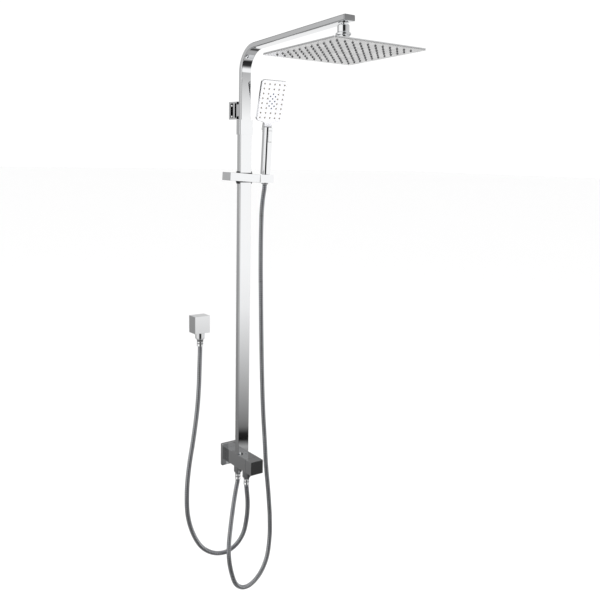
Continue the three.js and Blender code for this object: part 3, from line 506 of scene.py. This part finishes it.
# ---------------------------------------------------------------- hoses
# The routes repeat those of the CAD part, in millimetres.
HANDSET_LOOP = [
    (0, -45, -69), (-2, -45.3, -78), (-7, -47, -95), (-19, -54, -133), (-38, -70, -188), (-53, -85, -232),
    (-57, -92, -273), (-50, -95, -320), (-35, -96, -359), (-12, -96, -376), (14, -95, -376),
    (46, -93, -356), (72, -90, -315), (85, -86, -251), (87, -82, -181),
]
HANDSET_LEG = [
    (87, -82, -181), (83, -78, -110), (77, -74, -34), (74, -70, 41), (70, -67, 116), (67, -64, 204),
    (65, -61, 306), (63, -59, 420), (61.5, -58, 500),
]
HANDSET_UPPER = [(61.5, -58, 500), (60.6, -57.8, 560), (60.2, -58, 620), (60.5, -58.6, 680)]
HANDSET_TOP = [(60.5, -58.6, 680), (61.8, -59.6, 710), (64, -61, 735), (66, -62.6, 753), (66.6, -63.4, 764)]
SUPPLY = [
    (-107, -19.4, 331.1), (-107.6, -19.6, 312), (-109.5, -20.3, 275), (-112, -21.3, 223),
    (-119, -23.4, 154), (-133, -26.4, 72), (-147, -29, 3), (-156, -32, -67), (-156, -36, -139),
    (-143, -41, -194), (-121, -47, -237), (-98, -52, -258), (-74, -58, -268), (-47, -64, -268),
    (-20, -71, -251), (-2, -78, -220), (6, -84, -170), (6, -88, -123), (2, -89.6, -88), (0, -89.8, -69),
]


def hose_depth(away):
    """How far the surface lies under the crest: a flat band, rounded into its groove."""
    return HOSE_GROOVE * np.clip((away - HOSE_FLAT) / (1 - HOSE_FLAT), 0, 1) ** 2


def hose_rings(line):
    """Corners of the strip wound round a centre line, and how much painted shade each one gets towards its
    groove.
    """
    ahead = np.gradient(line, axis=0)
    ahead /= np.linalg.norm(ahead, axis=1)[:, None]
    side = np.cross(ahead[0], (0.0, 1.0, 0.0))
    angles = np.arange(HOSE_SIDES) * math.tau / HOSE_SIDES
    corners = []
    shade = []
    for i, (centre, tangent) in enumerate(zip(line, ahead)):
        side = side - tangent * np.dot(side, tangent)
        side /= np.linalg.norm(side)
        other = np.cross(tangent, side)
        turn = (i / RINGS_PER_TURN - angles / math.tau) % 1.0
        away = np.abs(turn - 0.5) * 2  # 0 in the middle of the strip, 1 in its groove
        # painted shade: darker towards each groove, read by the hose's finish
        shade.extend(np.clip((away - CREST) / CREST_FADE, 0, 1))
        radius = HOSE_RADIUS - hose_depth(away)
        ring = np.cos(angles)[:, None] * side + np.sin(angles)[:, None] * other
        corners.extend(centre + ring * radius[:, None])
    return corners, shade


def hose(name, route, node):
    """A stretch of interlocked metal hose."""
    line, length = smooth_curve([Vector(p) * MM for p in route], step=HOSE_PITCH / RINGS_PER_TURN)
    corners, shade = hose_rings(line)
    faces = tube_faces(len(line), HOSE_SIDES)
    piece = add_mesh(name, corners, faces, FINISHES["hoseSteel"])
    # the groove attribute carries the painted groove shade into the hose's finish
    piece.data.attributes.new("groove", "FLOAT", "POINT").data.foreach_set("value", shade)
    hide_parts(node)
    centres = line[::RINGS_PER_TURN].tolist()
    centres.append(line[-1].tolist())
    return piece


def make_ferrule(prefix):
    """Crimped sleeve over the hose's end, with two rolled grooves."""
    low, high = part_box(f"{prefix}_ferrule")
    radius = (high.x - low.x) / 2
    inner = radius - FERRULE_EDGE
    length = high.z - low.z
    profile = [(FERRULE_BORE, 0), (inner, 0), (radius, FERRULE_EDGE)]
    for share in FERRULE_GROOVES:
        middle = share * length
        profile += [(radius, middle - GROOVE_MOUTH), (inner, middle - GROOVE_FLOOR)]
        profile += [(inner, middle + GROOVE_FLOOR), (radius, middle + GROOVE_MOUTH)]
    profile += [(radius, length - FERRULE_EDGE), (inner, length), (FERRULE_BORE, length)]
    sleeve = turned(f"{prefix}_sleeve", profile, FINISHES["chrome"])
    sleeve.location = ((low.x + high.x) / 2, (low.y + high.y) / 2, low.z)
    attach(sleeve, "column")
    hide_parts(f"{prefix}_ferrule")


def make_hoses():
    """The supply hose, and the handset hose in four stretches."""
    for joint in ("handset_outlet", "supply_inlet", "elbow_hose"):
        make_ferrule(joint)
    supply = hose("supply_hose_strip", SUPPLY, "supply_hose")
    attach(supply, "column")
    loop = hose("handset_hose_loop_strip", HANDSET_LOOP, "handset_hose_loop")
    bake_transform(loop)
    leg = hose("handset_hose_leg_strip", HANDSET_LEG, "handset_hose_leg")
    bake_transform(leg)
    upper = hose("handset_hose_upper_strip", HANDSET_UPPER, "handset_hose_upper")
    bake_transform(upper)
    top = hose("handset_hose_top_strip", HANDSET_TOP, "handset_hose_top")
    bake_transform(top)


make_hoses()


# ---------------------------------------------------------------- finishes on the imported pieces
EDGE_BREAK = {  # millimetres, where it isn't the usual one
    "lower_tube": 0.35, "upper_arm": 0.3, "collar": 0.5, "slider_body": 1.4, "handset_holder": 0.9,
    "diverter_body": 0.6, "diverter_knob": 0.7, "wall_elbow": 0.7, "lower_wall_cover": 0.6,
    "upper_bracket": 0.6, "head_top_plate": 0.4, "head_face_plate": 0.3, "handset_body": 0.7,
    "handset_face": 0.45, "spray_button": 0.8, "arm_end_cap": 0.5,
}
USUAL_BREAK = 0.25


def finish_packed_pieces():
    """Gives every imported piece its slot's finish, whole flat faces and broken edges."""
    slots = {row["node"]: row["material_slot"] for row in frame["record"]["subparts"]}
    for name, node in nodes.items():
        node.data.materials.clear()
        node.data.materials.append(FINISHES[slots[name]])
        if "custom_normal" in node.data.attributes:
            node.data.attributes.remove(node.data.attributes["custom_normal"])
        node.data.polygons.foreach_set("use_smooth", [True] * len(node.data.polygons))
        weld = node.modifiers.new("joined_corners", "WELD")
        weld.merge_threshold = 0.01 * MM
        flat = node.modifiers.new("whole_faces", "DECIMATE")
        flat.decimate_type = "DISSOLVE"
        flat.angle_limit = math.radians(0.5)
        soften(node, EDGE_BREAK.get(name, USUAL_BREAK) * MM)
        flats = node.modifiers.new("true_flats", "WEIGHTED_NORMAL")
        flats.mode = "FACE_AREA"
        flats.weight = 100
        flats.keep_sharp = True


def paint_pocket_shade(name, margin):
    """Puts near-black painted shade on the faces that lie inside a piece's outline, its pockets."""
    node = nodes[name]
    low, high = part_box(name)
    node.data.materials.append(BRACKET_SHADE)
    for face in node.data.polygons:
        centre = node.matrix_world @ face.center
        inside = all(low[k] + margin < centre[k] < high[k] - margin for k in range(3))
        face.material_index = int(inside)


finish_packed_pieces()
# Painted shade: near-black in the upper bracket's pockets and over its wall plate.
paint_pocket_shade("upper_bracket", 0.3 * MM)
nodes["bracket_wall_plate"].data.materials[0] = BRACKET_SHADE
nodes["column_adapter"].data.materials[0] = FINISHES["chrome"]


# ---------------------------------------------------------------- cone nut
def handset_place():
    """Where the hand shower's handle stands and how it leans."""
    return Matrix.Translation(HANDSET_AXIS) @ Matrix.Rotation(LEAN, 4, "X")


def cone_radius(height):
    """Radius of the cone nut's taper at a height."""
    return CONE_NARROW + (CONE_WIDE - CONE_NARROW) * (height - CONE_FOOT) / (CONE_TOP - CONE_FOOT)


def make_cone_nut():
    """The hose's tapered nut, with a bead at its foot under a turned groove."""
    low, high = CONE_FOOT + CONE_GROOVE_LOW, CONE_FOOT + CONE_GROOVE_HIGH
    floor_low, floor_high = low + CONE_GROOVE, high - CONE_GROOVE
    shoulder = CONE_TOP - CONE_EDGE
    profile = [
        (CONE_HOLE, CONE_FOOT),
        (CONE_NARROW - CONE_EDGE, CONE_FOOT),
        (CONE_NARROW, CONE_FOOT + CONE_EDGE),
        (cone_radius(low), low),
        (cone_radius(floor_low) - CONE_GROOVE, floor_low),
        (cone_radius(floor_high) - CONE_GROOVE, floor_high),
        (cone_radius(high), high),
        (cone_radius(shoulder), shoulder),
        (CONE_WIDE - CONE_EDGE, CONE_TOP),
        (CONE_MOUTH, CONE_TOP),
    ]
    nut = turned("hose_cone", in_metres(profile), FINISHES["chrome"], sides=56)
    nut.matrix_world = handset_place()
    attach(nut, "hose_nut")
    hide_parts("hose_cone_nut")


make_cone_nut()


# ---------------------------------------------------------------- spray faces
def nozzle_shape(profile):
    """Small turned nozzle that points along +Z."""
    return turned_shape(in_metres(profile), NOZZLE_SIDES)


def make_rain_nozzles():
    """Soft nozzles through the rain head's face, eleven each way."""
    head = Matrix.Translation(BALL_CENTRE) @ Matrix.Rotation(-HEAD_TILT, 4, "X")
    down = Matrix.Rotation(math.pi, 4, "X")
    middle = (HEAD_NOZZLES - 1) / 2
    places = []
    for column in range(HEAD_NOZZLES):
        for row in range(HEAD_NOZZLES):
            spot = Vector(((column - middle) * HEAD_PITCH, (row - middle) * HEAD_PITCH, HEAD_FACE))
            places.append(head @ Matrix.Translation(spot) @ down)
    nozzles = copies("head_nozzles", nozzle_shape(RAIN_NOZZLE), places, FINISHES["silicone"])
    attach(nozzles, "rain_head")
    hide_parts("head_nozzle_mat")


def spray_place():
    """The middle of the hand shower's face, with Y out of its back."""
    return handset_place() @ Matrix.Translation(SPRAY_CENTRE) @ Matrix.Rotation(FACE_LEAN, 4, "X")


def spray_spot(column, row):
    """Where a jet of the hand shower stands, pointing out of its face."""
    x = (column - (SPRAY_COLUMNS - 1) / 2) * SPRAY_PITCH_X
    z = ((SPRAY_ROWS - 1) / 2 - row) * SPRAY_PITCH_Z
    outward = Matrix.Rotation(math.pi / 2, 4, "X")
    return spray_place() @ Matrix.Translation((x, 0, z)) @ outward


def spray_spots():
    """Places of the jets, in rows, and of the mist jets, in a cluster in their middle column."""
    middle = (SPRAY_COLUMNS - 1) / 2
    cluster_rows = range(2, SPRAY_ROWS - 2)
    jets, mist = [], []
    for row in range(SPRAY_ROWS):
        for column in range(SPRAY_COLUMNS):
            if column == middle and row in cluster_rows:
                mist.append(spray_spot(column, row))
            else:
                jets.append(spray_spot(column, row))
    for row in cluster_rows[:-1]:
        mist.append(spray_spot(middle - 0.5, row + 0.5))
        mist.append(spray_spot(middle + 0.5, row + 0.5))
    return jets, mist


def make_handset_nozzles():
    """Sand-coloured jets, and darker mist jets between them."""
    jets, mist = spray_spots()
    front = copies("handset_jets", nozzle_shape(JET), jets, SAND)
    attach(front, "handset")
    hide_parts("handset_nozzle_mat")
    cluster = copies("handset_mist_jets", nozzle_shape(MIST_JET), mist, SLATE)
    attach(cluster, "handset")


make_rain_nozzles()
make_handset_nozzles()


# ---------------------------------------------------------------- studio
def pale_floor():
    return make_finish("pale_floor", (0.97, 0.97, 0.97), (0.965, 0.965, 0.965), (0.8, 0.9), patch_scale=0.4)


def make_floor():
    """Plain pale floor, well under the hoses."""
    z = cad_low.z - FLOOR_DROP
    half = FLOOR_HALF
    corners = [(-half, -half, z), (half, -half, z), (half, half, z), (-half, half, z)]
    floor = add_mesh("floor", corners, [(0, 1, 2, 3)], pale_floor(), smooth=False)
    floor.visible_glossy = False


def soft_light(name, place, target, size, power):
    """A square light that shines on its target and can't be seen itself, not even in the chrome."""
    data = bpy.data.lights.new(name, "AREA")
    data.shape = "SQUARE"
    data.size = size
    data.energy = power
    light = bpy.data.objects.new(name, data)
    bpy.context.collection.objects.link(light)
    light.location = place
    light.rotation_euler = (Vector(target) - Vector(place)).to_track_quat("-Z", "Y").to_euler()
    light.visible_camera = False
    light.visible_glossy = False


# Brightness of the room that the chrome mirrors, in pairs: how high the direction looked in points, from
# -1 for straight down to 1 for straight up, and the brightness there. Ahead is away from the column's wall:
# pale on the right, dark on the left, where the viewer stands, and pale again far to the left. Behind, on
# the wall's side, it is pale on the right and dimmer on the left. A dark strip below level runs all round.
AHEAD_RIGHT = [
    (-1.0, 0.5), (-0.74, 0.5), (-0.66, 0.02), (-0.42, 0.035), (-0.378, 0.04), (-0.372, 0.35),
    (-0.366, 0.35), (-0.360, 0.008), (-0.352, 0.01), (-0.346, 0.14), (-0.339, 0.2), (-0.294, 0.40),
    (-0.245, 0.64), (-0.194, 0.88), (-0.14, 0.97), (0.045, 0.98), (0.077, 0.7), (0.1, 0.48), (0.118, 0.46),
    (0.22, 0.6), (0.27, 0.2), (0.34, 0.18), (0.6, 0.7), (1.0, 0.8),
]
AHEAD_LEFT = [
    (-1.0, 0.3), (-0.74, 0.3), (-0.64, 0.02), (-0.48, 0.03), (-0.4, 0.10), (-0.32, 0.08), (-0.22, 0.02),
    (0.5, 0.02), (0.8, 0.4), (1.0, 0.7),
]
FAR_LEFT = [
    (-1.0, 0.3), (-0.74, 0.3), (-0.64, 0.03), (-0.42, 0.05), (-0.34, 0.3), (-0.2, 0.85), (0.0, 0.98),
    (0.4, 0.9), (1.0, 0.75),
]
BEHIND_LEFT = [
    (-1.0, 0.4), (-0.62, 0.4), (-0.54, 0.08), (-0.43, 0.12), (-0.36, 0.18), (-0.2, 0.3), (0, 0.42),
    (0.2, 0.5), (0.3, 0.3), (0.36, 0.18), (0.42, 0.17), (0.7, 0.6), (1.0, 0.75),
]
BEHIND_RIGHT = [
    (-1.0, 0.4), (-0.74, 0.4), (-0.64, 0.05), (-0.45, 0.1), (-0.38, 0.4), (-0.25, 0.9), (0.0, 0.98),
    (0.15, 0.8), (0.3, 0.3), (0.36, 0.18), (0.42, 0.17), (0.7, 0.6), (1.0, 0.75),
]
CORNER_FADE = (-0.12, 0.12)  # one wall gives way to the next between these shares of a direction
FAR_LEFT_FADE = (-0.73, -0.79)


def brightness_ramp(tree, height, steps):
    """Grey that follows the given steps from the bottom of the room to its top."""
    ramp = tree.nodes.new("ShaderNodeValToRGB")
    ramp.color_ramp.interpolation = "LINEAR"
    elements = ramp.color_ramp.elements
    while len(elements) > 1:
        elements.remove(elements[-1])
    for i, (level, value) in enumerate(steps):
        place = (level + 1) / 2
        element = elements[0] if i == 0 else elements.new(place)
        element.position = place
        element.color = (value, value, value, 1)
    tree.links.new(height, ramp.inputs["Fac"])
    return ramp.outputs["Color"]


def share_between(tree, value, start, end):
    """From 0 to 1 as a value goes from start to end."""
    share = tree.nodes.new("ShaderNodeMapRange")
    set_inputs(share, {"From Min": start, "From Max": end})
    tree.links.new(value, share.inputs["Value"])
    return share.outputs["Result"]


def mixed_colour(tree, share, first, second):
    mix = tree.nodes.new("ShaderNodeMixRGB")
    tree.links.new(share, mix.inputs["Fac"])
    tree.links.new(first, mix.inputs["Color1"])
    tree.links.new(second, mix.inputs["Color2"])
    return mix.outputs["Color"]


def mirrored_room(tree):
    """Colour of the room in the direction that a mirrored ray goes."""
    place = tree.nodes.new("ShaderNodeTexCoord")
    parts = tree.nodes.new("ShaderNodeSeparateXYZ")
    tree.links.new(place.outputs["Generated"], parts.inputs["Vector"])
    height = share_between(tree, parts.outputs["Z"], -1, 1)
    to_right = share_between(tree, parts.outputs["X"], *CORNER_FADE)
    to_back = share_between(tree, parts.outputs["Y"], *CORNER_FADE)
    to_far_left = share_between(tree, parts.outputs["X"], *FAR_LEFT_FADE)
    walls = [AHEAD_LEFT, AHEAD_RIGHT, BEHIND_LEFT, BEHIND_RIGHT, FAR_LEFT]
    ahead_left, ahead_right, behind_left, behind_right, far_left = [
        brightness_ramp(tree, height, wall) for wall in walls
    ]
    ahead = mixed_colour(tree, to_right, ahead_left, ahead_right)
    behind = mixed_colour(tree, to_right, behind_left, behind_right)
    around = mixed_colour(tree, to_back, ahead, behind)
    return mixed_colour(tree, to_far_left, around, far_left)


def make_room():
    """Plain white to the eye; glossy finishes mirror the graded room instead."""
    world = bpy.data.worlds.new("studio")
    bpy.context.scene.world = world
    world.use_nodes = True
    tree = world.node_tree
    tree.nodes.clear()
    mirrored = tree.nodes.new("ShaderNodeBackground")
    tree.links.new(mirrored_room(tree), mirrored.inputs["Color"])
    plain = tree.nodes.new("ShaderNodeBackground")
    set_inputs(plain, {"Color": (1, 1, 1, 1), "Strength": BACKGROUND_STRENGTH})
    rays = tree.nodes.new("ShaderNodeLightPath")
    choice = tree.nodes.new("ShaderNodeMixShader")
    tree.links.new(rays.outputs["Is Glossy Ray"], choice.inputs["Fac"])
    tree.links.new(plain.outputs["Background"], choice.inputs[1])
    tree.links.new(mirrored.outputs["Background"], choice.inputs[2])
    result = tree.nodes.new("ShaderNodeOutputWorld")
    tree.links.new(choice.outputs["Shader"], result.inputs["Surface"])


make_floor()
make_room()
soft_light("key", place=(-2.2, -2.6, 2.6), target=(0, -0.2, 0.4), size=2.2, power=45)
soft_light("fill", place=(2.4, -2.0, 1.2), target=(0, -0.2, 0.3), size=2.4, power=20)
bpy.context.scene.view_settings.view_transform = "Standard"
